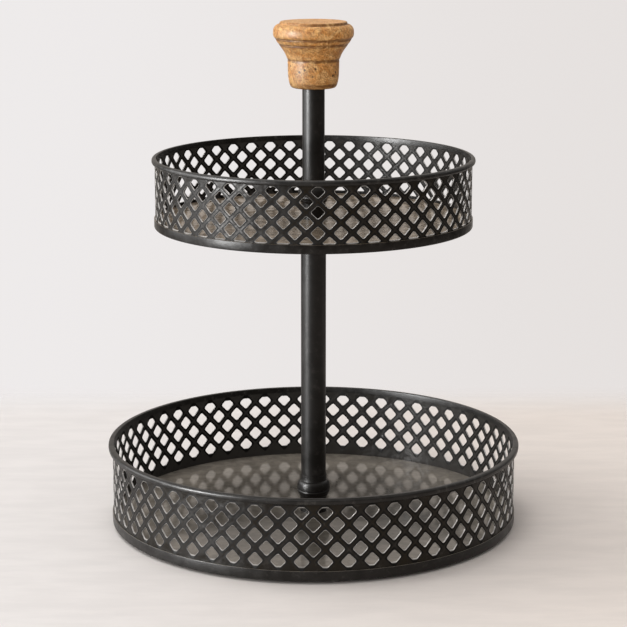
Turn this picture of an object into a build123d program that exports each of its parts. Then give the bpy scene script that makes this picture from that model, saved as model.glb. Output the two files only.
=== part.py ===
from build123d import *

import math
import os

os.makedirs("parts", exist_ok=True)

# Millimetres. The origin is the middle of the stand on the table, and the front of the stand faces -Y.

# Sheet metal and the gaps between pieces
wall_sheet = 1.0
pan_sheet = 0.8
lap_gap = 0.1
slip_gap = 0.15
bore_gap = 0.3
thread_gap = 0.05
cut_overrun = 1.5

# Lower tray
lower_wall_radius = 151.9
lower_tray_height = 60.3
lower_pan_recess = 2.2
lower_band_height = 7.5
lower_rim_stand = 3.1
lower_rim_height = 4.2
lower_hole_count = 58
lower_row_count = 5
lower_row_step = 9.0
lower_first_row_drop = 10.2
lower_hole_width = 11.6
lower_hole_height = 11.6
lower_top_margin = 7.0
lower_bottom_margin = 10.4
lower_turn = 0.0

# Upper tray
upper_wall_radius = 116.9
upper_tray_height = 51.1
upper_pan_recess = 4.2
upper_band_height = 6.5
upper_rim_stand = 2.2
upper_rim_height = 3.8
upper_hole_count = 46
upper_row_count = 6
upper_row_step = 7.2
upper_first_row_drop = 7.8
upper_hole_width = 10.2
upper_hole_height = 10.0
upper_top_margin = 4.8
upper_bottom_margin = 7.3
upper_turn = 5.4

# The break of both rims' outer edges
rim_edge_break = 1.2

# Square rubber feet
foot_stand = 2.0
foot_width = 12.0
foot_count = 4
foot_inset = 31.9

# Poles and the rod inside them
lower_pole_radius = 9.375
upper_pole_radius = 8.25
tube_wall = 1.0
lower_pole_length = 207.3
upper_pole_length = 81.9
rod_radius = 4.0
rod_head_radius = 7.0
rod_head_height = 2.2
rod_engagement = 13.0
base_washer_radius = 10.0
base_washer_height = 1.2

# Bell collars that hold the foot of each pole
collar_neck_height = 12.0
collar_socket_height = 15.2
collar_neck_wall = 0.7
collar_lip_stand = 3.2
collar_flare_height = 4.5
collar_lip_height = 2.9
collar_shoulder_height = 9.3
collar_mouth_wall = 0.6

# Flanged seat under the upper tray and the plug in the top of the upper pole
seat_flange_stand = 5.0
seat_flange_height = 3.0
spigot_length = 12.0
plug_flange_height = 1.5

# Knob, with the washer and the threaded insert in its underside
knob_height = 48.1
knob_body_radius = 18.8
knob_corner_radius = 4.0
knob_body_height = 20.3
knob_flare_height = 11.2
knob_flare_radius = 25.2
knob_flare_hollow = 0.7
knob_step_height = 4.4
knob_step_radius = 28.0
knob_radius = 29.45
knob_face_radius = 24.5
knob_groove = 0.5
knob_recess_depth = 4.0
knob_recess_gap = 0.75
knob_pole_entry = 0.5
washer_height = 1.7
insert_radius = 6.0
insert_length = 20.0
insert_roof = 2.0

# Heights that follow from the sizes above
lower_bottom = foot_stand
lower_floor_under = lower_bottom + lower_pan_recess
lower_floor = lower_floor_under + pan_sheet
lower_top = lower_bottom + lower_tray_height
lower_pole_foot = lower_floor + collar_socket_height
lower_pole_top = lower_pole_foot + lower_pole_length
upper_floor_under = lower_pole_top + seat_flange_height
upper_floor = upper_floor_under + pan_sheet
upper_bottom = upper_floor_under - upper_pan_recess
upper_top = upper_bottom + upper_tray_height
upper_pole_foot = upper_floor + collar_socket_height
upper_pole_top = upper_pole_foot + upper_pole_length
knob_bottom = upper_pole_top - knob_pole_entry
plug_top = upper_pole_top + plug_flange_height
washer_top = plug_top + washer_height
rod_bore_radius = rod_radius + bore_gap


# A closed outline of points (distance from the axis, height), turned about the axis of the stand
def turned(points):
    outline = make_face(Polyline(*points, close=True))
    return revolve(Plane.XZ * outline, Axis.Z)


# A tube, ring or disc with a bore, from one height to another
def ring(inner, outer, low, high):
    return turned([(inner, low), (outer, low), (outer, high), (inner, high)])


# One diamond opening, cut off level above and below its centre where its row meets a margin
def opening_outline(width, height, below, above):
    half_width = width / 2
    half_height = height / 2
    diamond = Polygon((half_width, 0), (0, half_height), (-half_width, 0), (0, -half_height), align=None)
    low = -min(below, half_height)
    high = min(above, half_height)
    band = Pos(0, (low + high) / 2) * Rectangle(width, high - low)
    return diamond & band


# The pierced wall: a strip formed round in flats of half a pitch, with the points of every opening on a bend.
# Rows are staggered, and the first and last are cut off level by the plain margins.
def pierced_wall(radius, low, high, count, rows, step, first_row, width, height, floor_cut, top_cut, turn):
    inside = radius - wall_sheet
    strip = extrude(RegularPolygon(radius, 2 * count) - RegularPolygon(inside, 2 * count), amount=high - low)
    cutters = []
    for row in range(rows):
        centre = first_row - row * step
        outline = opening_outline(width, height, centre - floor_cut, top_cut - centre)
        face = Plane(origin=(radius, 0, centre), x_dir=(0, 1, 0), z_dir=(1, 0, 0)) * outline
        cutter = extrude(face, amount=wall_sheet + cut_overrun, both=True)
        stagger = (row % 2) / 2
        cutters += [Rot(0, 0, (place + stagger) * 360 / count) * cutter for place in range(count)]
    return Rot(0, 0, turn) * (Pos(0, 0, low) * strip - cutters)


# The pan: a floor with an upturned band that laps the outside of the wall, and a doubled skirt below the floor
def pan(wall_radius, bottom, recess, band_height):
    band_inner = wall_radius + lap_gap
    band_outer = band_inner + pan_sheet
    skirt_inner = band_outer - 2 * pan_sheet
    under = bottom + recess
    floor = under + pan_sheet
    band_top = bottom + band_height
    outline = [
        (rod_bore_radius, under),
        (skirt_inner, under),
        (skirt_inner, bottom),
        (band_outer, bottom),
        (band_outer, band_top),
        (band_inner, band_top),
        (band_inner, floor),
        (rod_bore_radius, floor),
    ]
    return turned(outline)


# The rim: a bead that stands on the top edge of the wall and outwards from it
def rim(wall_radius, top, height, stand):
    inner = wall_radius - wall_sheet - lap_gap
    outer = wall_radius + stand
    foot = top - height
    outline = [
        (inner, foot),
        (outer - rim_edge_break, foot),
        (outer, foot + rim_edge_break),
        (outer, top - rim_edge_break),
        (outer - rim_edge_break, top),
        (inner, top),
    ]
    return turned(outline)


# The bell collar: a neck on the floor, a flare, a lip, and a shoulder that closes on the pole standing inside it
def collar(floor, pole_radius):
    neck = pole_radius + collar_neck_wall
    lip = pole_radius + collar_lip_stand
    socket = pole_radius + slip_gap
    mouth = socket + collar_mouth_wall
    neck_top = floor + collar_neck_height
    socket_floor = floor + collar_socket_height
    lip_low = neck_top + collar_flare_height
    lip_high = lip_low + collar_lip_height
    mouth_height = lip_high + collar_shoulder_height
    shoulder_middle = (
        mouth + (lip - mouth) * math.cos(math.radians(45)),
        lip_high + collar_shoulder_height * math.sin(math.radians(45)),
    )
    outline = [
        (rod_bore_radius, floor),
        (neck, floor),
        (neck, neck_top),
        (lip, lip_low),
        (lip, lip_high),
        shoulder_middle,
        (mouth, mouth_height),
        (socket, mouth_height),
        (socket, socket_floor),
        (rod_bore_radius, socket_floor),
    ]
    return turned(outline)


# A flange that a pole ends on, with a spigot inside the pole and a bore for the rod
def spigot_flange(pole_radius, flange_radius, pole_top, flange_height):
    spigot = pole_radius - tube_wall - slip_gap
    outline = [
        (rod_bore_radius, pole_top - spigot_length),
        (spigot, pole_top - spigot_length),
        (spigot, pole_top),
        (flange_radius, pole_top),
        (flange_radius, pole_top + flange_height),
        (rod_bore_radius, pole_top + flange_height),
    ]
    return turned(outline)


# The rod: a low head under the base washer, and a shank that ends inside the knob
def tie_rod():
    head_top = lower_floor_under - base_washer_height
    head_bottom = head_top - rod_head_height
    tip = washer_top + rod_engagement
    outline = [
        (0, head_bottom),
        (rod_head_radius, head_bottom),
        (rod_head_radius, head_top),
        (rod_radius, head_top),
        (rod_radius, tip),
        (0, tip),
    ]
    return turned(outline)


# Points along an arc, or along an ellipse where its half-widths across and up differ
def arc_points(centre, across, up, start, end, steps):
    angles = [math.radians(start + (end - start) * step / steps) for step in range(steps + 1)]
    return [(centre[0] + across * math.cos(angle), centre[1] + up * math.sin(angle)) for angle in angles]


# How far up the flare its points lie
flare_shares = (0, 0.5, 1)


# A point of the slightly hollow flare between the knob's body and its neck
def flare_point(share, body_top):
    sag = knob_flare_hollow * 4 * share * (1 - share)
    radius = knob_body_radius + (knob_flare_radius - knob_body_radius) * share - sag
    return (radius, body_top + knob_flare_height * share)


# The knob: a round-cornered body, a hollow flare, a stepped neck and a thick rim about a flat face
def knob():
    recess_radius = upper_pole_radius + knob_recess_gap
    recess_top = knob_bottom + knob_recess_depth
    socket_radius = insert_radius + lap_gap
    socket_top = washer_top + insert_length
    face = knob_bottom + knob_height
    body_top = knob_bottom + knob_body_height
    flare_top = body_top + knob_flare_height
    step_top = flare_top + knob_step_height
    rim_middle = (step_top + face - knob_groove) / 2
    rim_half_height = face - knob_groove - rim_middle
    rim_round = knob_radius - knob_face_radius
    corner_centre = (knob_body_radius - knob_corner_radius, knob_bottom + knob_corner_radius)
    flare = [flare_point(share, body_top) for share in flare_shares]
    outline = [
        (0, socket_top),
        (socket_radius, socket_top),
        (socket_radius, recess_top),
        (recess_radius, recess_top),
        (recess_radius, knob_bottom),
        *arc_points(corner_centre, knob_corner_radius, knob_corner_radius, -90, 0, 2),
        *flare,
        (knob_step_radius, step_top),
        *arc_points((knob_face_radius, rim_middle), rim_round, rim_half_height, -45, 90, 3),
        (knob_face_radius - knob_groove, face),
        (0, face),
    ]
    return turned(outline)


# The threaded insert in the knob, its bore closed at the top
def knob_insert():
    bore = rod_radius + thread_gap
    top = washer_top + insert_length
    outline = [
        (bore, washer_top),
        (insert_radius, washer_top),
        (insert_radius, top),
        (0, top),
        (0, top - insert_roof),
        (bore, top - insert_roof),
    ]
    return turned(outline)


# A square pad between the table and the underside of the lower pan, with its sides turned to the middle
def foot(place):
    pad = extrude(Rectangle(foot_width, foot_width), amount=lower_floor_under)
    turn = Rot(0, 0, (place + 1 / 2) * 360 / foot_count)
    return turn * Pos(lower_wall_radius - foot_inset, 0, 0) * pad


pieces = {
    "lower_pan": pan(lower_wall_radius, lower_bottom, lower_pan_recess, lower_band_height),
    "lower_wall": pierced_wall(
        lower_wall_radius,
        lower_floor,
        lower_top - lower_rim_height,
        lower_hole_count,
        lower_row_count,
        lower_row_step,
        lower_top - lower_first_row_drop,
        lower_hole_width,
        lower_hole_height,
        lower_bottom + lower_bottom_margin,
        lower_top - lower_top_margin,
        lower_turn,
    ),
    "lower_rim": rim(lower_wall_radius, lower_top, lower_rim_height, lower_rim_stand),
    "upper_pan": pan(upper_wall_radius, upper_bottom, upper_pan_recess, upper_band_height),
    "upper_wall": pierced_wall(
        upper_wall_radius,
        upper_floor,
        upper_top - upper_rim_height,
        upper_hole_count,
        upper_row_count,
        upper_row_step,
        upper_top - upper_first_row_drop,
        upper_hole_width,
        upper_hole_height,
        upper_bottom + upper_bottom_margin,
        upper_top - upper_top_margin,
        upper_turn,
    ),
    "upper_rim": rim(upper_wall_radius, upper_top, upper_rim_height, upper_rim_stand),
    "base_washer": ring(
        rod_bore_radius, base_washer_radius, lower_floor_under - base_washer_height, lower_floor_under
    ),
    "tie_rod": tie_rod(),
    "lower_collar": collar(lower_floor, lower_pole_radius),
    "lower_pole": ring(lower_pole_radius - tube_wall, lower_pole_radius, lower_pole_foot, lower_pole_top),
    "tray_seat": spigot_flange(
        lower_pole_radius, lower_pole_radius + seat_flange_stand, lower_pole_top, seat_flange_height
    ),
    "upper_collar": collar(upper_floor, upper_pole_radius),
    "upper_pole": ring(upper_pole_radius - tube_wall, upper_pole_radius, upper_pole_foot, upper_pole_top),
    "pole_plug": spigot_flange(upper_pole_radius, upper_pole_radius, upper_pole_top, plug_flange_height),
    "knob_washer": ring(rod_bore_radius, upper_pole_radius, plug_top, washer_top),
    "knob_insert": knob_insert(),
    "knob": knob(),
}
for place in range(foot_count):
    pieces[f"foot_{place + 1}"] = foot(place)

for name, piece in pieces.items():
    export_step(piece, f"parts/{name}.step")
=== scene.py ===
import math

import bmesh
import bpy
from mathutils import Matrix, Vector


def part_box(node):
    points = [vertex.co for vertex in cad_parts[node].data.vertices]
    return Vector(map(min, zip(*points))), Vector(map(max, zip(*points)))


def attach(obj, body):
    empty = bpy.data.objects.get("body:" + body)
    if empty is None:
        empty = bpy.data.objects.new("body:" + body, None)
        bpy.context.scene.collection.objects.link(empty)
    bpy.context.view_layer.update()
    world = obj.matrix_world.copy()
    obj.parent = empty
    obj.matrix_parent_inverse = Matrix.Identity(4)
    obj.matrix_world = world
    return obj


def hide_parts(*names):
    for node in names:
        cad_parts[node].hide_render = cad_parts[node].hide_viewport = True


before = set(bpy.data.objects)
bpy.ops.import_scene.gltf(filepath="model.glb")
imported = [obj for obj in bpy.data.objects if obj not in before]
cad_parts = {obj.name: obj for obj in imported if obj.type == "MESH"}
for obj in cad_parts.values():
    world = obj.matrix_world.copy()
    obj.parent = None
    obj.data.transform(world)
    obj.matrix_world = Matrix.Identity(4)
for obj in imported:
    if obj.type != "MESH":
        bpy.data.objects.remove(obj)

# the dictionaries of the pieces are in millimetres, and mm turns them into the scene's metres
mm = 0.001
quarterTurn = math.radians(90)
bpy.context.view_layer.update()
print("frame loaded:", len(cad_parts), "nodes")


# modelling helpers

def closeMesh():
    bpy.ops.object.mode_set(mode="OBJECT")


def selectMesh():
    bpy.ops.mesh.select_all(action="SELECT")


# opens the active mesh with all of it selected
def openMesh(selectMode="VERT"):
    bpy.ops.object.mode_set(mode="EDIT")
    bpy.ops.mesh.select_mode(type=selectMode)
    selectMesh()


def deselectAll():
    if bpy.context.mode != "OBJECT":
        closeMesh()
    bpy.ops.object.select_all(action="DESELECT")


def pick(piece):
    deselectAll()
    piece.select_set(True)
    bpy.context.view_layer.objects.active = piece


def applyTransform():
    bpy.ops.object.transform_apply(location=True, rotation=True, scale=True)


def finishShape(piece, smoothAngle=35):
    pick(piece)
    applyTransform()
    bpy.ops.object.shade_smooth_by_angle(angle=math.radians(smoothAngle))
    return piece


def applyModifier(piece, kind, **settings):
    pick(piece)
    modifier = piece.modifiers.new(kind.lower(), kind)
    for key, value in settings.items():
        setattr(modifier, key, value)
    bpy.ops.object.modifier_apply(modifier=modifier.name)


# bevels the edges that turn more than an angle
def breakEdges(piece, width, segments, angle):
    settings = {"width": width * mm, "segments": segments, "limit_method": "ANGLE"}
    applyModifier(piece, "BEVEL", angle_limit=angle, **settings)


def joinPieces(pieces, name):
    deselectAll()
    for piece in pieces:
        piece.select_set(True)
    bpy.context.view_layer.objects.active = pieces[0]
    bpy.ops.object.join()
    joined = bpy.context.active_object
    joined.name = name
    return joined


def topOf(node):
    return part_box(node)[1].z / mm


def bottomOf(node):
    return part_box(node)[0].z / mm


def radiusOf(node):
    low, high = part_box(node)
    return min(high.x, high.y, -low.x, -low.y) / mm


# what a turned piece is built from: its lower end, its upper end and its radius
def spanOf(node):
    return bottomOf(node), topOf(node), radiusOf(node)


# points along an arc of a turned outline, as (distance from the axis, height); an arc with a
# rise is an oval's, with that half height
def arc(centreRadius, centreHeight, radius, startAngle, endAngle, steps, rise=None):
    halfHeight = rise or radius
    points = []
    for step in range(steps + 1):
        angle = math.radians(startAngle + (endAngle - startAngle) * step / steps)
        across = centreRadius + radius * math.cos(angle)
        points.append((across, centreHeight + halfHeight * math.sin(angle)))
    return points


latheWeld = 0.002


# a piece off the lathe: a circle at the first point, extruded and resized to each next one,
# then closed to a ring, or filled at both ends
def turnPiece(name, outline, steps, closedRing=True, smoothAngle=35):
    radius, height = outline[0]
    start = (0, 0, height * mm)
    deselectAll()
    bpy.ops.mesh.primitive_circle_add(vertices=steps, radius=radius * mm, location=start)
    piece = bpy.context.active_object
    piece.name = name
    applyTransform()
    openMesh("EDGE")
    stops = outline[1:] + (outline[:1] if closedRing else [])
    for nextRadius, nextHeight in stops:
        move = {"value": (0, 0, (nextHeight - height) * mm)}
        bpy.ops.mesh.extrude_edges_move(TRANSFORM_OT_translate=move)
        grow = nextRadius / radius
        bpy.ops.transform.resize(value=(grow, grow, 1), center_override=(0, 0, 0))
        radius, height = nextRadius, nextHeight
    selectMesh()
    if closedRing:
        bpy.ops.mesh.remove_doubles(threshold=latheWeld * mm)
    else:
        bpy.ops.mesh.fill_holes(sides=0)
    selectMesh()
    bpy.ops.mesh.normals_make_consistent(inside=False)
    closeMesh()
    return finishShape(piece, smoothAngle)


# material helpers

def addNode(tree, kind, inputs=None, **settings):
    node = tree.nodes.new(kind)
    for key, value in settings.items():
        setattr(node, key, value)
    for key, value in (inputs or {}).items():
        socket = node.inputs[key]
        if isinstance(value, bpy.types.NodeSocket):
            tree.links.new(value, socket)
        else:
            socket.default_value = value
    return node


# a node group whose named sockets are all plain numbers
def newGroup(name, inputs, outputs):
    group = bpy.data.node_groups.new(name, "ShaderNodeTree")
    kind = "NodeSocketFloat"
    for socketName, default in inputs.items():
        socket = group.interface.new_socket(socketName, in_out="INPUT", socket_type=kind)
        socket.default_value = default
    for socketName in outputs:
        group.interface.new_socket(socketName, in_out="OUTPUT", socket_type=kind)
    given = addNode(group, "NodeGroupInput").outputs
    return group, given, addNode(group, "NodeGroupOutput").inputs


def mapRange(tree, value, low, high, newLow=0.0, newHigh=1.0):
    inputs = {"Value": value, "From Min": low, "From Max": high}
    inputs |= {"To Min": newLow, "To Max": newHigh}
    node = addNode(tree, "ShaderNodeMapRange", inputs, interpolation_type="SMOOTHSTEP")
    return node.outputs["Result"]


# 1 below a range of values and 0 above it
def fallOff(tree, value, low, high):
    return mapRange(tree, value, low, high, 1.0, 0.0)


def maths(tree, operation, first, second=0.0):
    return addNode(tree, "ShaderNodeMath", {0: first, 1: second}, operation=operation).outputs[0]


def times(tree, first, second):
    return maths(tree, "MULTIPLY", first, second)


def plus(tree, first, second):
    return maths(tree, "ADD", first, second)


def minus(tree, first, second):
    return maths(tree, "SUBTRACT", first, second)


def larger(tree, first, second):
    return maths(tree, "MAXIMUM", first, second)


# how far one value is from another, either way
def apart(tree, first, second):
    return maths(tree, "ABSOLUTE", minus(tree, first, second))


def vectorMaths(tree, operation, first, second=(0, 0, 0), output="Vector"):
    inputs = {0: first, 1: second}
    return addNode(tree, "ShaderNodeVectorMath", inputs, operation=operation).outputs[output]


# what is left of a vector without its height
def levelled(tree, vector):
    return vectorMaths(tree, "MULTIPLY", vector, (1, 1, 0))


def axesOf(tree, vector):
    return addNode(tree, "ShaderNodeSeparateXYZ", {"Vector": vector}).outputs


def mixColours(tree, factor, first, second):
    inputs = {"Factor": factor}
    # sockets 6 and 7 are the two colours, and a colour that is given as numbers has no alpha yet
    for key, value in ((6, first), (7, second)):
        inputs[key] = value if isinstance(value, bpy.types.NodeSocket) else (*value, 1)
    return addNode(tree, "ShaderNodeMix", inputs, data_type="RGBA").outputs[2]


def coordinates(tree):
    return addNode(tree, "ShaderNodeTexCoord").outputs


def objectPoints(tree):
    return coordinates(tree)["Object"]


def mapped(tree, points, **inputs):
    return addNode(tree, "ShaderNodeMapping", {"Vector": points, **inputs}).outputs["Vector"]


def noise(tree, points, scale, detail=3.0, roughness=0.55, distortion=0.0):
    inputs = {"Vector": points, "Scale": scale, "Detail": detail}
    inputs |= {"Roughness": roughness, "Distortion": distortion}
    return addNode(tree, "ShaderNodeTexNoise", inputs).outputs["Fac"]


def newMaterial(name, **constants):
    material = bpy.data.materials.new(name)
    material.use_nodes = True
    tree = material.node_tree
    shader = tree.nodes["Principled BSDF"]
    for key, value in constants.items():
        shader.inputs[key.replace("_", " ")].default_value = value
    return material, tree, shader


def connect(tree, shader, colour, roughness):
    tree.links.new(colour, shader.inputs["Base Color"])
    tree.links.new(roughness, shader.inputs["Roughness"])


# relief in a material, with its depth in millimetres
def addBump(tree, shader, height, strength, depth):
    inputs = {"Height": height, "Strength": strength, "Distance": depth * mm}
    bump = addNode(tree, "ShaderNodeBump", inputs)
    tree.links.new(bump.outputs["Normal"], shader.inputs["Normal"])


# blotches, rubbed patches and fine grain, which the metal and rubber finishes share
patinaLook = {
    "blotches": {"detail": 5.0, "roughness": 0.6, "distortion": 0.4},
    "rubbed": {"detail": 6.0, "roughness": 0.65},
    "grain": {"detail": 2.0},
    "rubbedFiner": 3.1,
    "blotchRange": (0.3, 0.72),
    "rubbedRange": (0.52, 0.74),
    "heightShare": 0.5,
}


def makePatina():
    look = patinaLook
    scales = {"Blotch Scale": 60.0, "Grain Scale": 1500.0}
    tree, given, result = newGroup("patina", scales, ("Blotches", "Rubbed", "Height"))
    points = objectPoints(tree)
    blotches = noise(tree, points, given["Blotch Scale"], **look["blotches"])
    finer = times(tree, given["Blotch Scale"], look["rubbedFiner"])
    rubbed = noise(tree, points, finer, **look["rubbed"])
    grain = noise(tree, points, given["Grain Scale"], **look["grain"])
    share = look["heightShare"]
    height = plus(tree, times(tree, blotches, share), times(tree, grain, share))
    tree.links.new(mapRange(tree, blotches, *look["blotchRange"]), result["Blotches"])
    tree.links.new(mapRange(tree, rubbed, *look["rubbedRange"]), result["Rubbed"])
    tree.links.new(height, result["Height"])
    return tree


# ranges over which the strip's marks come and go: cut, inside and outside are ranges of how far
# the surface faces away from the axis, from -1 to 1, and the painted highlight ring and the painted
# shade margin are ranges of the strip's own map, which runs from 0 at an opening to 1 midway to the next
stripLook = {
    "wearAndLight": (0.3, 0.62, 0.35, 1.0),
    "cut": (0.75, 0.93),
    "upward": (-0.05, 0.35),
    "inside": (-0.9, -0.5),
    "outside": (-0.3, 0.1),
    "ring": (0.08, 0.16),
    "marginStart": (0.09, 0.18),
    "marginEnd": (0.45, 0.80),
}


# marks on the pierced strip: its bare cut edges with a painted highlight where they face up to the
# light, a painted highlight ring round each opening outside, a painted shade margin beside the ring,
# and its inner face
def makeStripMarks():
    look = stripLook
    names = ("Bare Cut And Glint", "Highlight Ring", "Margin", "Inside")
    tree, given, result = newGroup("strip_marks", {"Patch Scale": 130.0}, names)
    place = coordinates(tree)
    away = vectorMaths(tree, "NORMALIZE", levelled(tree, place["Object"]))
    facing = vectorMaths(tree, "DOT_PRODUCT", away, place["Normal"], output="Value")
    upward = axesOf(tree, place["Normal"])["Z"]
    across = axesOf(tree, place["UV"])["X"]
    patches = noise(tree, place["Object"], given["Patch Scale"])
    wearAndLight = mapRange(tree, patches, *look["wearAndLight"])
    # bare cut edges, lit up as a painted highlight only where they face up towards the light
    cut = fallOff(tree, maths(tree, "ABSOLUTE", facing), *look["cut"])
    cut = times(tree, cut, mapRange(tree, upward, *look["upward"]))
    # painted highlight: a light ring on the outer face round each opening
    ring = fallOff(tree, across, *look["ring"])
    ring = times(tree, ring, mapRange(tree, facing, *look["outside"]))
    # painted shade: a dark band beside the ring, towards the middle of the strip
    margin = mapRange(tree, across, *look["marginStart"])
    margin = times(tree, margin, fallOff(tree, across, *look["marginEnd"]))
    tree.links.new(times(tree, cut, wearAndLight), result["Bare Cut And Glint"])
    tree.links.new(times(tree, ring, wearAndLight), result["Highlight Ring"])
    tree.links.new(margin, result["Margin"])
    tree.links.new(fallOff(tree, facing, *look["inside"]), result["Inside"])
    return tree


patina = makePatina()
stripMarks = makeStripMarks()


def addPatina(tree, blotch):
    marks = addNode(tree, "ShaderNodeGroup", node_tree=patina)
    marks.inputs["Blotch Scale"].default_value = blotch
    return marks.outputs


blackPaint = {
    "base": (0.0052, 0.0038, 0.0026),
    "faded": (0.0130, 0.0108, 0.0088),
    "strip": (0.0120, 0.0080, 0.0034),
    # the colour of the painted shade margin beside each ring
    "margin": (0.0020, 0.0015, 0.0010),
    # the colour of the painted highlight ring round each opening, and its share
    "ring": (0.38, 0.36, 0.335),
    "ringShare": 0.75,
    "rubbed": (0.070, 0.064, 0.057),
    # the colour of the bare cut edges, light enough to carry a painted highlight
    "bareCutAndGlint": (0.66, 0.63, 0.60),
    "inside": (0.038, 0.034, 0.030),
    # how much rougher the painted shade margin is
    "marginDull": 0.3,
    "grainShare": 0.25,
    "swell": {"scale": 110, "detail": 2.0, "roughness": 0.5},
    "bumpStrength": 0.2,
    "bumpDepth": 0.4,
}
# the flat of a pan: where it faces up enough, and between which shares of the radius its painted light
# rises
panFlat = {"facing": (0.7, 0.95), "reach": (0.5, 0.92)}
lowerFlat = {
    "node": "lower_pan",
    "tones": [(0.090, 0.079, 0.065), (0.150, 0.131, 0.108)],
    # the pair after the tones is painted light: the factor on the flat's colour from mid-radius out to the
    # wall
    "paintedWallLight": (0.85, 1.9),
    "roughness": 0.085,
}
upperFlat = {
    "node": "upper_pan",
    "tones": [(0.105, 0.082, 0.060), (0.250, 0.196, 0.142)],
    # the pair after the tones is painted light: the factor on the flat's colour from mid-radius out to the
    # wall
    "paintedWallLight": (0.9, 1.4),
    "roughness": 0.10,
}


# the pierced strip: a lighter inner face, a painted shade margin, a painted highlight ring and bare
# cut edges with a painted highlight
def paintStrip(tree, colour, roughness, edgeShare):
    edge = addNode(tree, "ShaderNodeGroup", node_tree=stripMarks).outputs
    colour = mixColours(tree, edge["Inside"], colour, blackPaint["inside"])
    # the painted shade margin darkens the strip beside each opening
    colour = mixColours(tree, edge["Margin"], colour, blackPaint["margin"])
    # the painted highlight ring is laid round each opening
    ring = times(tree, edge["Highlight Ring"], blackPaint["ringShare"])
    colour = mixColours(tree, ring, colour, blackPaint["ring"])
    # bare cut edges with a painted highlight where they face up
    cut = times(tree, edge["Bare Cut And Glint"], edgeShare)
    colour = mixColours(tree, cut, colour, blackPaint["bareCutAndGlint"])
    dull = times(tree, edge["Margin"], blackPaint["marginDull"])
    return colour, plus(tree, roughness, dull)


# the flat of a pan is smoother than its band and has painted light, lightest beside the wall where its
# shade falls
def paintFlat(tree, colour, roughness, blotches, flat):
    place = coordinates(tree)
    level = mapRange(tree, axesOf(tree, place["Normal"])["Z"], *panFlat["facing"])
    away = vectorMaths(tree, "LENGTH", levelled(tree, place["Object"]), output="Value")
    start, end = [radiusOf(flat["node"]) * mm * share for share in panFlat["reach"]]
    # painted light: the flat's blotched tones are raised towards the wall, where the wall's shade falls
    paintedWallLight = mapRange(tree, away, start, end, *flat["paintedWallLight"])
    wearAndLight = mixColours(tree, blotches, *flat["tones"])
    wearAndLight = vectorMaths(tree, "MULTIPLY", wearAndLight, paintedWallLight)
    smoother = times(tree, minus(tree, flat["roughness"], roughness), level)
    return mixColours(tree, level, colour, wearAndLight), plus(tree, roughness, smoother)


# blotch is the scale of the patina, smooth and rough the roughness between its blotches and on
# them, rub the share of the rubbed patches, waves the swell of the sheet and edge the share of
# the bare cut edges with their painted highlight; any edge also lays on the painted ring and margin
def makeBlackPaint(name, blotch, smooth, rough, rub, gloss, waves, edge=0.0, flat=None):
    material, tree, shader = newMaterial(name, Metallic=0.0, IOR=1.5, Specular_IOR_Level=gloss)
    marks = addPatina(tree, blotch)
    ground = blackPaint["strip" if edge else "base"]
    colour = mixColours(tree, marks["Blotches"], ground, blackPaint["faded"])
    colour = mixColours(tree, times(tree, marks["Rubbed"], rub), colour, blackPaint["rubbed"])
    roughness = mapRange(tree, marks["Blotches"], 0.0, 1.0, smooth, rough)
    if edge:
        colour, roughness = paintStrip(tree, colour, roughness, edge)
    if flat:
        colour, roughness = paintFlat(tree, colour, roughness, marks["Blotches"], flat)
    connect(tree, shader, colour, roughness)
    # hand-rolled sheet is a little wavy, so what it mirrors wanders
    swell = noise(tree, objectPoints(tree), **blackPaint["swell"])
    height = times(tree, marks["Height"], blackPaint["grainShare"])
    height = plus(tree, height, times(tree, swell, waves))
    addBump(tree, shader, height, blackPaint["bumpStrength"], blackPaint["bumpDepth"])
    return material


wallPaint = makeBlackPaint(
    "wall_paint", blotch=55, smooth=0.32, rough=0.46, rub=0.45, gloss=0.15, waves=14.0, edge=0.95
)
rimPaint = makeBlackPaint(
    "rim_paint", blotch=80, smooth=0.34, rough=0.44, rub=0.6, gloss=0.27, waves=2.0
)
lowerPanPaint = makeBlackPaint(
    "lower_pan_paint", blotch=90, smooth=0.30, rough=0.42, rub=0.4, gloss=0.25, waves=0.8, flat=lowerFlat
)
upperPanPaint = makeBlackPaint(
    "upper_pan_paint", blotch=120, smooth=0.30, rough=0.42, rub=0.4, gloss=0.16, waves=3.0, flat=upperFlat
)
polePaint = makeBlackPaint(
    "pole_paint", blotch=60, smooth=0.35, rough=0.43, rub=0.3, gloss=0.24, waves=1.5
)

bareMetal = {"blotch": 220, "roughness": (0.28, 0.46), "bump": (0.15, 0.2)}
zinc = {"tones": [(0.46, 0.46, 0.45), (0.30, 0.30, 0.29)], **bareMetal}
brass = {"tones": [(0.62, 0.42, 0.17), (0.38, 0.25, 0.10)], **bareMetal}
rubber = {
    "tones": [(0.012, 0.012, 0.013), (0.028, 0.027, 0.026)],
    "blotch": 400,
    "roughness": (0.7, 0.9),
}


# a finish of two tones, rougher where it is rubbed
def makeMottled(name, look, metallic):
    material, tree, shader = newMaterial(name, Metallic=metallic)
    marks = addPatina(tree, look["blotch"])
    colour = mixColours(tree, marks["Blotches"], *look["tones"])
    roughness = mapRange(tree, marks["Rubbed"], 0.0, 1.0, *look["roughness"])
    connect(tree, shader, colour, roughness)
    if "bump" in look:
        addBump(tree, shader, marks["Height"], *look["bump"])
    return material


zincSteel = makeMottled("zinc_steel", zinc, metallic=1.0)
brassFinish = makeMottled("brass_insert", brass, metallic=1.0)
rubberPad = makeMottled("rubber_pad", rubber, metallic=0.0)
print("metal and rubber finishes made")

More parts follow.
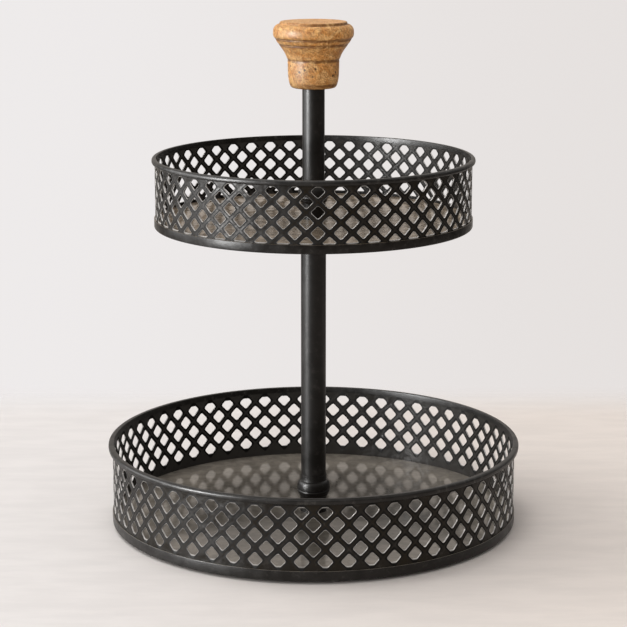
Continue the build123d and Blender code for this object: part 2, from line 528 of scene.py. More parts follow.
# pierced walls
# a strip of diamond cells is pierced flat, arrayed along its length, trimmed, rolled into a ring
# and thickened; firstRow and the two cuts are heights above the table
lowerWall = {
    "node": "lower_wall",
    "name": "lowerWallSheet",
    "count": 58,
    "rows": 5,
    "rowStep": 9.0,
    "firstRow": 52.1,
    "opening": (11.2, 11.4),
    "corner": 1.5,
    "cutCorner": 0.75,
    "topCut": 55.3,
    "bottomCut": 12.4,
    "frontShift": 0.5,
    "blankRowsBelow": 2,
}
upperWall = {
    "node": "upper_wall",
    "name": "upperWallSheet",
    "count": 46,
    "rows": 6,
    "rowStep": 7.2,
    "firstRow": 269.6,
    "opening": (10.0, 9.8),
    "corner": 1.25,
    "cutCorner": 0.65,
    "topCut": 272.6,
    "bottomCut": 233.65,
    "frontShift": 0.192,
    "blankRowsBelow": 1,
}
# near is how close a corner lies to a cut, or to a middle line of its cell, to count as on it
wallBuild = {
    "sheet": 1.0,
    "edge": 0.12,
    "edgeAngle": 50,
    "rimTuck": 0.4,
    "near": 0.01,
    "weld": 0.01,
    "ringWeld": 0.02,
    "smoothAngle": 40,
}


# lays the strip's map over a cell: 0 round an opening, 1 on the outer diamond and all over a
# blank cell, whose middle has a reach of 0
def mapCell(cell, wall, pitch):
    closeMesh()
    mesh = bmesh.new()
    mesh.from_mesh(cell.data)
    layer = mesh.loops.layers.uv.verify()
    reachSlack = 0.001
    for face in mesh.faces:
        for loop in face.loops:
            place = loop.vert.co / mm
            reach = abs(place.x) / (pitch / 2) + abs(place.z) / wall["rowStep"]
            solid = reach > 1 - reachSlack or reach < reachSlack
            loop[layer].uv = (1 if solid else 0, 0.5)
    mesh.to_mesh(cell.data)
    mesh.free()


# rounds the points of an opening, and less its corners on a level cut
def roundCorners(cell, wall, cuts):
    near = wallBuild["near"]
    for onCut, offset in ((True, wall["cutCorner"]), (False, wall["corner"])):
        mesh = bmesh.from_edit_mesh(cell.data)
        for vert in mesh.verts:
            height = vert.co.z / mm
            atCut = any(abs(height - cut) < near for cut in cuts)
            atPoint = min(abs(height), abs(vert.co.x) / mm) < near
            vert.select = atCut if onCut else atPoint and not atCut
        bmesh.update_edit_mesh(cell.data)
        if any(vert.select for vert in mesh.verts):
            bpy.ops.mesh.bevel(offset=offset * mm, affect="VERTICES", segments=2)


def addDiamond(fill):
    upright = (quarterTurn, 0, 0)
    bpy.ops.mesh.primitive_circle_add(vertices=4, radius=mm, fill_type=fill, rotation=upright)


def resizeDiamond(halfWidth, halfHeight):
    bpy.ops.transform.resize(value=(halfWidth, 1, halfHeight), center_override=(0, 0, 0))


# cuts the mesh level at a height and drops what lies on the normal's side of it
def cutLevel(height, normal):
    place = (0, 0, height * mm)
    selectMesh()
    bpy.ops.mesh.bisect(plane_co=place, plane_no=(0, 0, normal), clear_outer=True)


def pierceCell(wall, pitch, below, above):
    width, height = wall["opening"]
    deselectAll()
    addDiamond("NGON")
    cell = bpy.context.active_object
    applyTransform()
    openMesh()
    resizeDiamond(width / 2, height / 2)
    cuts = []
    for reach, normal in ((above, 1), (below, -1)):
        if reach < height / 2:
            cuts.append(normal * reach)
            cutLevel(cuts[-1], normal)
    roundCorners(cell, wall, cuts)
    selectMesh()
    bpy.ops.mesh.delete(type="ONLY_FACE")
    addDiamond("NOTHING")
    resizeDiamond(pitch / 2, wall["rowStep"])
    selectMesh()
    bpy.ops.mesh.bridge_edge_loops()
    mapCell(cell, wall, pitch)
    return cell


def blankCell(wall, pitch):
    deselectAll()
    addDiamond("TRIFAN")
    cell = bpy.context.active_object
    applyTransform()
    openMesh()
    resizeDiamond(pitch / 2, wall["rowStep"])
    mapCell(cell, wall, pitch)
    return cell


# the flat strip, one row of cells above another and arrayed along the wall's length
def layStrip(wall, pitch):
    full = wall["opening"][1]
    lastRow = wall["rows"] - 1
    cells = []
    for row in range(-1, wall["rows"] + wall["blankRowsBelow"]):
        centre = wall["firstRow"] - row * wall["rowStep"]
        if 0 <= row <= lastRow:
            above = wall["topCut"] - centre if row == 0 else full
            below = centre - wall["bottomCut"] if row == lastRow else full
            cell = pierceCell(wall, pitch, below, above)
        else:
            cell = blankCell(wall, pitch)
        stagger = wall["frontShift"] + (row % 2) / 2
        cell.location = (stagger % 1 * pitch * mm, 0, centre * mm)
        cells.append(cell)
    strip = joinPieces(cells, wall["name"])
    applyTransform()
    applyModifier(
        strip,
        "ARRAY",
        count=wall["count"],
        use_relative_offset=False,
        use_constant_offset=True,
        constant_offset_displace=(pitch * mm, 0, 0),
        use_merge_vertices=True,
        merge_threshold=wallBuild["weld"] * mm,
    )
    openMesh()
    # the strip's top edge ends a little inside the bead that covers it
    cutLevel(topOf(wall["node"]) + wallBuild["rimTuck"], 1)
    cutLevel(bottomOf(wall["node"]), -1)
    selectMesh()
    bpy.ops.mesh.remove_doubles(threshold=wallBuild["weld"] * mm)
    closeMesh()
    return strip


def rollWall(wall):
    outer = radiusOf(wall["node"])
    strip = layStrip(wall, 2 * math.pi * outer / wall["count"])
    # the bend reads the strip's own length, so its angle grows with the staggered ends
    reach = [corner[0] for corner in strip.bound_box]
    turn = (max(reach) - min(reach)) / (outer * mm)
    applyModifier(strip, "SIMPLE_DEFORM", deform_method="BEND", deform_axis="Z", angle=turn)
    strip.location.y = -outer * mm
    applyTransform()
    openMesh()
    bpy.ops.mesh.remove_doubles(threshold=wallBuild["ringWeld"] * mm)
    bpy.ops.mesh.normals_make_consistent(inside=False)
    mesh = bmesh.from_edit_mesh(strip.data)
    mesh.faces.ensure_lookup_table()
    middle = mesh.faces[0].calc_center_median()
    if mesh.faces[0].normal.dot(Vector((middle.x, middle.y, 0))) < 0:
        bpy.ops.mesh.flip_normals()
    closeMesh()
    thickness = wallBuild["sheet"] * mm
    applyModifier(strip, "SOLIDIFY", thickness=thickness, offset=-1.0, use_even_offset=True)
    breakEdges(strip, wallBuild["edge"], segments=1, angle=math.radians(wallBuild["edgeAngle"]))
    return finishShape(strip, wallBuild["smoothAngle"])


lowerWallSheet = rollWall(lowerWall)
upperWallSheet = rollWall(upperWall)
faceCounts = [len(piece.data.polygons) for piece in (lowerWallSheet, upperWallSheet)]
print("pierced walls rolled:", faceCounts)

# rims
rimShape = {"crownRadius": 1.9, "underRadius": 1.3, "lipRadius": 0.45, "innerLap": 0.1, "steps": 240}


def turnRim(name, node, wallNode):
    low, top, outer = spanOf(node)
    inner = radiusOf(wallNode) - wallBuild["sheet"] - rimShape["innerLap"]
    crown = rimShape["crownRadius"]
    under = rimShape["underRadius"]
    lip = rimShape["lipRadius"]
    outline = [(inner, low)]
    outline += arc(outer - under, low + under, under, -90, 0, steps=5)
    outline += arc(outer - crown, top - crown, crown, 0, 90, steps=8)
    outline += arc(inner + lip, top - lip, lip, 90, 180, steps=3)
    return turnPiece(name, outline, rimShape["steps"])


lowerRim = turnRim("lowerRimBead", "lower_rim", "lower_wall")
upperRim = turnRim("upperRimBead", "upper_rim", "upper_wall")

# the bore of every piece that the rod passes through
rodBore = 4.3

# pans
panShape = {"sheet": 0.8, "lipRadius": 0.35, "footRadius": 0.8, "cornerLoop": 1, "steps": 240}


def turnPan(name, node, wallNode):
    sheet = panShape["sheet"]
    lip = panShape["lipRadius"]
    foot = panShape["footRadius"]
    low, top, outer = spanOf(node)
    bandInner = outer - sheet
    skirtInner = outer - 2 * sheet
    floor = bottomOf(wallNode)
    under = floor - sheet
    outline = [(rodBore, floor), (rodBore, under), (skirtInner / 2, under)]
    outline += [(skirtInner, under), (skirtInner, low + lip)]
    outline += arc(skirtInner + lip, low + lip, lip, 180, 270, steps=3)
    outline += arc(outer - foot, low + foot, foot, -90, 0, steps=5)
    outline += arc(outer - lip, top - lip, lip, 0, 90, steps=4)
    outline += arc(bandInner + lip, top - lip, lip, 90, 180, steps=4)
    outline += [(bandInner, floor), (bandInner - panShape["cornerLoop"], floor)]
    outline += [(bandInner / 2, floor)]
    return turnPiece(name, outline, panShape["steps"])


lowerPan = turnPan("lowerPanFloor", "lower_pan", "lower_wall")
upperPan = turnPan("upperPanFloor", "upper_pan", "upper_wall")
print("rims and pans turned")

# poles, collars, seat and plug
poleShape = {"sheet": 1.0, "edge": 0.25, "rings": 6, "steps": 96}


def turnTube(name, node):
    low, high, outer = spanOf(node)
    inner = outer - poleShape["sheet"]
    edge = poleShape["edge"]
    rings = poleShape["rings"]
    outline = [(inner, low), (outer - edge, low), (outer, low + edge)]
    outline += [(outer, low + (high - low) * step / rings) for step in range(1, rings)]
    outline += [(outer, high - edge), (outer - edge, high), (inner, high)]
    return turnPiece(name, outline, poleShape["steps"])


lowerPole = turnTube("lowerPoleTube", "lower_pole")
upperPole = turnTube("upperPoleTube", "upper_pole")

# heights are above the floor of the tray, the turns are in degrees, the bead's each way, and
# neckEdge is how far out and how far below the neck's top its edge runs
collarShape = {
    "neckWall": 0.7,
    "neckHeight": 12.0,
    "neckEdge": [(0, 0.8), (0.15, 0.2)],
    "flareSteps": 8,
    "socketHeight": 15.2,
    "socketGap": 0.15,
    "beadLow": 14.6,
    "beadHigh": 17.3,
    "beadInset": 0.3,
    "beadDepth": 1.0,
    "beadTurn": 80,
    "beadSteps": 8,
    "domeInset": 0.25,
    "domeLift": 0.3,
    "domeLow": 17.5,
    "domeHigh": 24.4,
    "domeTurn": 85.5,
    "domeSteps": 11,
    "mouthWall": 0.3,
    "mouthRise": 0.6,
    "mouthEdge": 0.15,
    "steps": 96,
    "smoothAngle": 40,
}


def turnCollar(name, node, poleNode):
    shape = collarShape
    floor, top, widest = spanOf(node)
    pole = radiusOf(poleNode)
    neck = pole + shape["neckWall"]
    socket = pole + shape["socketGap"]
    mouth = socket + shape["mouthWall"]
    neckTop = floor + shape["neckHeight"]
    beadLow = floor + shape["beadLow"]
    half = (shape["beadHigh"] - shape["beadLow"]) / 2
    depth, turn = shape["beadDepth"], shape["beadTurn"]
    seat = widest - shape["beadInset"] - depth
    domeLow = floor + shape["domeLow"] + shape["domeLift"]
    domeHigh = floor + shape["domeHigh"]
    edge = shape["mouthEdge"]
    outline = [(rodBore, floor), (neck, floor)]
    outline += [(neck + out, neckTop - drop) for out, drop in shape["neckEdge"]]
    # the flare curls out under a round bead, and the dome above it closes on the pole
    flare = arc(neck, beadLow, seat - neck, -90, 0, shape["flareSteps"], beadLow - neckTop)
    outline += flare[1:-1]
    outline += arc(seat, beadLow + half, depth, -turn, turn, shape["beadSteps"], half)
    outline += [(widest - shape["domeInset"], floor + shape["domeLow"])]
    reach, rise = widest - mouth, domeHigh - domeLow
    outline += arc(mouth, domeLow, reach, 0, shape["domeTurn"], shape["domeSteps"], rise)
    outline += [(mouth, domeHigh + shape["mouthRise"]), (mouth, top - edge)]
    outline += [(mouth - edge, top), (socket, top)]
    outline += [(away, floor + shape["socketHeight"]) for away in (socket, rodBore)]
    return turnPiece(name, outline, shape["steps"], smoothAngle=shape["smoothAngle"])


lowerCollar = turnCollar("lowerCollarBell", "lower_collar", "lower_pole")
upperCollar = turnCollar("upperCollarBell", "upper_collar", "upper_pole")

flangeShape = {"spigot": 12.0, "tubeWall": 1.0, "gap": 0.15, "edge": 0.35, "steps": 80}


def turnFlange(name, node, poleNode):
    low, high, outer = spanOf(node)
    spigot = radiusOf(poleNode) - flangeShape["tubeWall"] - flangeShape["gap"]
    edge = flangeShape["edge"]
    flangeLow = low + flangeShape["spigot"]
    outline = [(rodBore, low), (spigot - edge, low), (spigot, low + edge), (spigot, flangeLow)]
    outline += arc(outer - edge, flangeLow + edge, edge, -90, 0, steps=3)
    outline += arc(outer - edge, high - edge, edge, 0, 90, steps=3)
    outline += [(rodBore, high)]
    return turnPiece(name, outline, flangeShape["steps"])


traySeat = turnFlange("traySeatFlange", "tray_seat", "lower_pole")
polePlug = turnFlange("polePlugCap", "pole_plug", "upper_pole")
print("poles and collars turned")

# washers, rod and insert
washerShape = {"edge": 0.2, "steps": 64}


def turnWasher(name, node):
    low, high, outer = spanOf(node)
    edge = washerShape["edge"]
    outline = [(rodBore, low), (outer - edge, low), (outer, low + edge)]
    outline += [(outer, high - edge), (outer - edge, high)]
    outline += [(rodBore + edge, high), (rodBore, high - edge)]
    return turnPiece(name, outline, washerShape["steps"])


baseWasher = turnWasher("baseWasherRing", "base_washer")
knobWasher = turnWasher("knobWasherRing", "knob_washer")

rodShape = {
    "radius": 4.0,
    "core": 3.4,
    "headEdge": 0.4,
    "socketRadius": 3.0,
    "socketDepth": 1.5,
    "pitch": 1.25,
    "threadTurns": 12,
    "threadEnd": 1.4,
    "ridge": 0.45,
    "ridgeLift": 0.15,
    "ridgeSteps": 32,
    "runout": 2,
    "runoutSlope": 0.6,
    "pointEdge": 0.8,
    "steps": 48,
}


def turnRod():
    low, high, head = spanOf("tie_rod")
    headTop = bottomOf("base_washer")
    rod, core = rodShape["radius"], rodShape["core"]
    edge, point = rodShape["headEdge"], rodShape["pointEdge"]
    socket = rodShape["socketRadius"]
    threadLow = high - rodShape["threadTurns"] * rodShape["pitch"] - rodShape["runout"]
    outline = [(socket, low + rodShape["socketDepth"]), (socket, low), (head - edge, low)]
    outline += [(head, low + edge), (head, headTop - edge), (head - edge, headTop)]
    outline += [(rod, headTop), (rod, threadLow), (core, threadLow + rodShape["runoutSlope"])]
    outline += [(core, high - point), (core - point, high)]
    return turnPiece("tieRodShank", outline, rodShape["steps"], closedRing=False)


# the thread is one ridge wound up the rod's core
def windThread():
    turns, pitch = rodShape["threadTurns"], rodShape["pitch"]
    ridge = rodShape["ridge"] * mm
    low = topOf("tie_rod") - rodShape["threadEnd"] - turns * pitch
    away = (rodShape["core"] + rodShape["ridgeLift"]) * mm
    deselectAll()
    bpy.ops.mesh.primitive_circle_add(vertices=3, radius=ridge, rotation=(quarterTurn, 0, 0))
    thread = bpy.context.active_object
    thread.name = "tieRodThread"
    applyTransform()
    openMesh("EDGE")
    bpy.ops.transform.rotate(value=quarterTurn, orient_axis="Y", center_override=(0, 0, 0))
    bpy.ops.transform.translate(value=(away, 0, low * mm))
    closeMesh()
    applyModifier(
        thread,
        "SCREW",
        axis="Z",
        screw_offset=pitch * mm,
        iterations=turns,
        steps=rodShape["ridgeSteps"],
        render_steps=rodShape["ridgeSteps"],
        use_merge_vertices=False,
    )
    openMesh("EDGE")
    bpy.ops.mesh.fill_holes(sides=0)
    bpy.ops.mesh.normals_make_consistent(inside=False)
    closeMesh()
    return finishShape(thread)


tieRod = turnRod()
rodThread = windThread()

# a rib has the full radius between the two shares of its height in ribCrest
insertShape = {
    "play": 0.05,
    "capDrop": 2,
    "boreDrop": 2.6,
    "mouth": 0.5,
    "lowEdge": 0.3,
    "ribs": 8,
    "ribRoom": 1,
    "ribStart": 0.4,
    "ribDepth": 0.35,
    "ribCrest": (0.7, 0.85),
    "highEdge": (0.4, 0.3),
    "highInset": 0.8,
    "steps": 64,
}


def turnInsert():
    shape = insertShape
    low, high, outer = spanOf("knob_insert")
    bore = rodShape["radius"] + shape["play"]
    outline = [(bore * 0.5, high - shape["capDrop"]), (bore, high - shape["boreDrop"])]
    outline += [(bore, low + shape["mouth"]), (bore + shape["mouth"], low)]
    outline += [(outer - shape["lowEdge"], low)]
    step = (high - low - shape["ribRoom"]) / shape["ribs"]
    # barbs grip the wood: each swells to the full radius and drops back
    for rib in range(shape["ribs"]):
        start = low + shape["ribStart"] + rib * step
        outline += [(outer - shape["ribDepth"], start)]
        outline += [(outer, start + step * share) for share in shape["ribCrest"]]
    edgeIn, edgeDrop = shape["highEdge"]
    outline += [(outer - edgeIn, high - edgeDrop), (outer - shape["highInset"], high)]
    return turnPiece("knobInsertSleeve", outline, shape["steps"], closedRing=False)


knobInsert = turnInsert()
print("rod and hardware turned")

# knob
# heights are above the underside of the knob, apart from socketTop, which is above the table;
# what lies above liftAbove is raised with the top of the knob
knobShape = {
    "recessRadius": 9.0,
    "recessDepth": 4.0,
    "recessEdge": 0.4,
    "socketRadius": 6.1,
    "socketTop": 351.6,
    "liftAbove": 40,
    "profile": {
        "body": [(14.8, 0), (15.9, 0.35), (16.7, 1.1), (17.3, 2.3), (17.7, 3.6), (18.05, 5.2)],
        "shoulder": [(18.35, 7.2), (18.6, 9.6), (18.72, 12.5), (18.78, 15.5), (18.84, 18.2)],
        "waist": [(18.9, 19.5), (18.76, 20.2), (18.86, 20.8), (19.2, 21.3), (19.55, 22.0)],
        "flare": [(19.95, 23.1), (20.55, 24.5), (21.3, 25.9), (22.2, 27.3), (23.15, 28.7)],
        "neck": [(24.2, 30.1), (25.1, 31.3), (25.05, 31.6), (25.4, 32.0), (26.2, 32.8)],
        "under": [(26.85, 33.8), (27.4, 34.8), (27.75, 35.6), (27.7, 35.9), (28.2, 36.2)],
        "rim": [(28.85, 36.9), (29.25, 37.8), (29.43, 38.9), (29.45, 40.2), (29.4, 41.5)],
        "crown": [(29.15, 42.9), (28.6, 44.0), (27.8, 44.95), (26.8, 45.7), (25.7, 46.1)],
        "step": [(24.95, 46.2), (24.7, 46.4), (24.65, 47.3), (24.4, 47.75), (23.9, 48.02)],
        "face": [(23.2, 48.1), (16.0, 48.1), (9.0, 48.1), (3.0, 48.1)],
    },
    "grooves": [20.45, 31.6, 35.8],
    "steps": 160,
    "smoothAngle": 50,
}


def turnKnob():
    shape = knobShape
    low, high = bottomOf("knob"), topOf("knob")
    lift = high - low - shape["profile"]["face"][-1][1]
    recess, socket = shape["recessRadius"], shape["socketRadius"]
    recessTop = low + shape["recessDepth"]
    edge = shape["recessEdge"]
    outline = [(socket * 0.5, shape["socketTop"]), (socket, shape["socketTop"])]
    outline += [(socket, recessTop), (recess, recessTop), (recess, low + edge), (recess + edge, low)]
    for stretch in shape["profile"].values():
        for radius, height in stretch:
            raised = lift if height > shape["liftAbove"] else 0
            outline.append((radius, low + height + raised))
    smoothAngle = shape["smoothAngle"]
    return turnPiece("knobWood", outline, shape["steps"], closedRing=False, smoothAngle=smoothAngle)


knob = turnKnob()

# wood
woodTone = {
    "pale": (0.90, 0.550, 0.220),
    "honey": (0.74, 0.340, 0.090),
    "brown": (0.31, 0.105, 0.020),
    # the colour of the stain and the painted shade
    "stainAndShade": (0.120, 0.046, 0.011),
    "dark": (0.045, 0.020, 0.009),
}
woodFinish = {"IOR": 1.45, "Specular_IOR_Level": 0.17, "Coat_Weight": 0.20, "Coat_Roughness": 0.37}
# slow figure, slanting streaks, two sizes of burl veins and a fine speckle; the stretches are
# along the grain, and the streaks' and speckle's ranges end with how brown they turn the wood
woodGrain = {
    "slant": (0.3, 0.6, 0.2),
    "figure": {"scale": 90, "detail": 4.0, "roughness": 0.6, "distortion": 2.2},
    "figureRange": (0.36, 0.64),
    "streaks": {"scale": 300, "detail": 4.0, "roughness": 0.6, "distortion": 2.0},
    "streakStretch": 0.35,
    "streakRange": (0.48, 0.72, 0.0, 0.75),
    "speckle": {"scale": 600, "roughness": 0.6},
    "speckleRange": (0.50, 0.76, 0.0, 0.25),
    "wideVeins": {"scale": 120, "width": 0.04, "distortion": 3.0},
    "wideStretch": 0.7,
    "wideShare": 0.8,
    "fineVeins": {"scale": 240, "width": 0.06, "distortion": 2.6},
    "fineStretch": 0.5,
    "fineShare": 0.7,
    "roughness": (0.3, 0.8, 0.40, 0.62),
}
# pits are small dark cells of a net wrapped round the body, most of them in one belt
woodPits = {
    "wrapRadius": 18.7,
    "netScale": 250.0,
    "size": (0.16, 0.26),
    "beltHeight": 13.0,
    "beltReach": (2.0, 9.0),
    "beltGain": 0.24,
    "scatter": {"scale": 230, "detail": 1.0},
    "chosen": (0.73, 0.80),
    "share": 0.9,
}
# stain and painted shade: darker round the bottom edge, painted shade in the turned grooves, the top one
# the painted shadow under the rim, and painted shade just above the bottom edge and in the step of the
# face; the last two fade towards the lit left, between two places on X
woodStainAndShade = {
    "edge": (0.5, 5.0),
    "edgeShare": 0.6,
    "wander": 2.0,
    "wanderNoise": {"scale": 160, "detail": 2.0},
    "lineWidth": 1.5,
    "lineCore": 0.4,
    "foot": 2.7,
    "footSide": (-12.0, 2.0),
    "footLeft": 0.2,
    "step": 25.0,
    "stepWidth": 1.4,
    "stepRise": (45.0, 46.0),
    "stepSide": (-12.0, 4.0),
    "stepLeft": 0.3,
    "figure": (0.3, 0.6, 0.35, 0.78),
}
woodRelief = {
    "speckle": 0.5,
    "fineVeins": 0.3,
    "wideVeins": 0.5,
    "pits": 1.5,
    "strength": 0.45,
    "depth": 0.4,
}


# a range in millimetres, in metres
def metres(ends):
    return [end * mm for end in ends]


# thin wandering lines, where a noise passes through its middle value
def veins(tree, points, scale, width, distortion):
    field = noise(tree, points, scale, roughness=0.6, distortion=distortion)
    return fallOff(tree, apart(tree, field, 0.5), 0.0, width)


# 1 in the core of a line at a height or a radius, and 0 from halfWidth away
def lineAt(tree, value, centre, halfWidth):
    ends = metres((halfWidth * woodStainAndShade["lineCore"], halfWidth))
    return fallOff(tree, apart(tree, value, centre * mm), *ends)


def makePits(tree, centred, axes):
    turned = maths(tree, "ARCTAN2", axes["X"], times(tree, axes["Y"], -1.0))
    net = {"X": times(tree, turned, woodPits["wrapRadius"] * mm), "Y": axes["Z"]}
    net = addNode(tree, "ShaderNodeCombineXYZ", net).outputs["Vector"]
    cells = {"Vector": net, "Scale": woodPits["netScale"]}
    cells = addNode(tree, "ShaderNodeTexVoronoi", cells, voronoi_dimensions="2D")
    hollow = fallOff(tree, cells.outputs["Distance"], *woodPits["size"])
    offBelt = apart(tree, axes["Z"], woodPits["beltHeight"] * mm)
    belt = mapRange(tree, offBelt, *metres(woodPits["beltReach"]), woodPits["beltGain"], 0.0)
    chosen = plus(tree, noise(tree, centred, **woodPits["scatter"]), belt)
    return times(tree, hollow, mapRange(tree, chosen, *woodPits["chosen"]))


def makeStainAndShade(tree, centred, axes, figure):
    look = woodStainAndShade
    # darker round the bottom edge
    stainAndShade = times(tree, fallOff(tree, axes["Z"], *metres(look["edge"])), look["edgeShare"])
    wander = minus(tree, noise(tree, centred, **look["wanderNoise"]), 0.5)
    level = plus(tree, axes["Z"], times(tree, wander, look["wander"] * mm))
    # painted shade in the turned grooves; the top one is the painted shadow under the rim
    for groove in knobShape["grooves"]:
        stainAndShade = larger(tree, stainAndShade, lineAt(tree, level, groove, look["lineWidth"]))
    # painted shade just above the bottom edge, fading towards the lit left
    side = mapRange(tree, axes["X"], *metres(look["footSide"]), look["footLeft"], 1.0)
    foot = times(tree, lineAt(tree, level, look["foot"], look["lineWidth"]), side)
    stainAndShade = larger(tree, stainAndShade, foot)
    away = vectorMaths(tree, "LENGTH", levelled(tree, centred), output="Value")
    # painted shade in the step of the face, fading towards the lit left
    step = lineAt(tree, away, look["step"], look["stepWidth"])
    step = times(tree, step, mapRange(tree, axes["Z"], *metres(look["stepRise"])))
    side = mapRange(tree, axes["X"], *metres(look["stepSide"]), look["stepLeft"], 1.0)
    stainAndShade = larger(tree, stainAndShade, times(tree, step, side))
    return times(tree, stainAndShade, mapRange(tree, figure, *look["figure"]))


def makeWood():
    grain = woodGrain
    material, tree, shader = newMaterial("turned_wood", **woodFinish)
    centred = mapped(tree, objectPoints(tree), Location=(0, 0, -bottomOf("knob") * mm))
    axes = axesOf(tree, centred)
    slanted = mapped(tree, centred, Rotation=grain["slant"])
    alongStreaks = mapped(tree, slanted, Scale=(1, 1, grain["streakStretch"]))
    alongWide = mapped(tree, slanted, Scale=(1, 1, grain["wideStretch"]))
    alongFine = mapped(tree, slanted, Scale=(1, 1, grain["fineStretch"]))
    figure = noise(tree, slanted, **grain["figure"])
    streaks = noise(tree, alongStreaks, **grain["streaks"])
    wideVeins = veins(tree, alongWide, **grain["wideVeins"])
    fineVeins = veins(tree, alongFine, **grain["fineVeins"])
    speckle = noise(tree, centred, **grain["speckle"])
    ripe = mapRange(tree, figure, *grain["figureRange"])
    colour = mixColours(tree, ripe, woodTone["pale"], woodTone["honey"])
    browned = [
        mapRange(tree, streaks, *grain["streakRange"]),
        mapRange(tree, speckle, *grain["speckleRange"]),
        times(tree, fineVeins, grain["fineShare"]),
        times(tree, wideVeins, grain["wideShare"]),
    ]
    for mask in browned:
        colour = mixColours(tree, mask, colour, woodTone["brown"])
    pits = makePits(tree, centred, axes)
    stainAndShade = makeStainAndShade(tree, centred, axes, figure)
    # the stain and painted shade darken the wood
    colour = mixColours(tree, stainAndShade, colour, woodTone["stainAndShade"])
    colour = mixColours(tree, times(tree, pits, woodPits["share"]), colour, woodTone["dark"])
    connect(tree, shader, colour, mapRange(tree, streaks, *grain["roughness"]))
    fine = times(tree, fineVeins, woodRelief["fineVeins"])
    wide = times(tree, wideVeins, woodRelief["wideVeins"])
    marks = plus(tree, plus(tree, fine, wide), times(tree, pits, woodRelief["pits"]))
    height = minus(tree, times(tree, speckle, woodRelief["speckle"]), marks)
    addBump(tree, shader, height, woodRelief["strength"], woodRelief["depth"])
    return material


turnedWood = makeWood()
print("knob turned and its wood made")

# feet
footShape = {"width": 12.0, "cornerRadius": 2.0, "edge": 0.4, "edgeTurn": 1.0, "smoothAngle": 40}


def moldFoot(place):
    node = f"foot_{place}"
    low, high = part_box(node)
    middle = (low + high) / 2
    facing = (0, 0, math.atan2(middle.y, middle.x))
    deselectAll()
    bpy.ops.mesh.primitive_cube_add(size=1, location=middle, rotation=facing)
    foot = bpy.context.active_object
    foot.name = f"footPad{place}"
    foot.scale = (footShape["width"] * mm, footShape["width"] * mm, high.z - low.z)
    applyTransform()
    openMesh("EDGE")
    bpy.ops.mesh.select_all(action="DESELECT")
    mesh = bmesh.from_edit_mesh(foot.data)
    for edge in mesh.edges:
        first, second = edge.verts
        edge.select = abs(first.co.z - second.co.z) > mm
    bmesh.update_edit_mesh(foot.data)
    bpy.ops.mesh.bevel(offset=footShape["cornerRadius"] * mm, segments=4)
    closeMesh()
    breakEdges(foot, footShape["edge"], segments=2, angle=footShape["edgeTurn"])
    return finishShape(foot, footShape["smoothAngle"])


feet = [moldFoot(place) for place in (1, 2, 3, 4)]
print("feet moulded")

# bodies, nodes and finishes
dressed = [
    (lowerWallSheet, "stand", "lower_wall", "black_steel", wallPaint),
    (upperWallSheet, "stand", "upper_wall", "black_steel", wallPaint),
    (lowerRim, "stand", "lower_rim", "black_steel", rimPaint),
    (upperRim, "stand", "upper_rim", "black_steel", rimPaint),
    (lowerPan, "stand", "lower_pan", "black_steel", lowerPanPaint),
    (upperPan, "stand", "upper_pan", "black_steel", upperPanPaint),
    (lowerPole, "stand", "lower_pole", "black_steel", polePaint),
    (upperPole, "stand", "upper_pole", "black_steel", polePaint),
    (lowerCollar, "stand", "lower_collar", "black_steel", polePaint),
    (upperCollar, "stand", "upper_collar", "black_steel", polePaint),
    (traySeat, "stand", "tray_seat", "black_steel", polePaint),
    (polePlug, "stand", "pole_plug", "black_steel", polePaint),
    (baseWasher, "stand", "base_washer", "zinc_steel", zincSteel),
    (tieRod, "stand", "tie_rod", "zinc_steel", zincSteel),
    (rodThread, "stand", None, "zinc_steel", zincSteel),
    (knobWasher, "knob_washer", "knob_washer", "zinc_steel", zincSteel),
    (knobInsert, "knob", "knob_insert", "brass_insert", brassFinish),
    (knob, "knob", "knob", "turned_wood", turnedWood),
]
for place, foot in enumerate(feet, 1):
    dressed.append((foot, "stand", f"foot_{place}", "rubber_pad", rubberPad))

for piece, body, node, slotName, material in dressed:
    piece.data.materials.clear()
    piece.data.materials.append(material)
    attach(piece, body)
    if node:
        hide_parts(node)
print("pieces placed on their bodies:", len(dressed))

# floor, light and camera, in metres; the world's ranges are of a direction, from -1 to 1
stageLook = {
    "floorSize": 6,
    "floorLeft": (0.785, 0.742, 0.713),
    "floorRight": (0.824, 0.740, 0.673),
    "floorSide": (-0.25, 0.25),
    "floorFinish": {"Roughness": 0.6, "Specular_IOR_Level": 0.06},
    "grain": {"scale": 60, "detail": 4.0},
    "grainStretch": (0.3, 1, 1),
    "grainShade": (0.3, 0.7, 0.94, 1.0),
    "fade": (0.28, 0.40),
    "far": (0.55, 1.15),
    "backdropLeft": (0.855, 0.830, 0.828),
    "backdropRight": (0.790, 0.755, 0.740),
    "backdropSide": (-0.16, 0.16),
    "mirrored": (0.70, 0.635, 0.58),
    "dimSide": (0.035, 0.035, 0.035),
    "overhead": (0.80, 0.78, 0.76),
    "ahead": (-0.1, 0.6),
    "aside": (0.35, 0.75),
    "above": (0.30, 0.60),
    "ambientLow": (0.20, 0.20, 0.20),
    "ambientHigh": (0.56, 0.56, 0.57),
    "ambientRise": (0.0, 0.6),
}


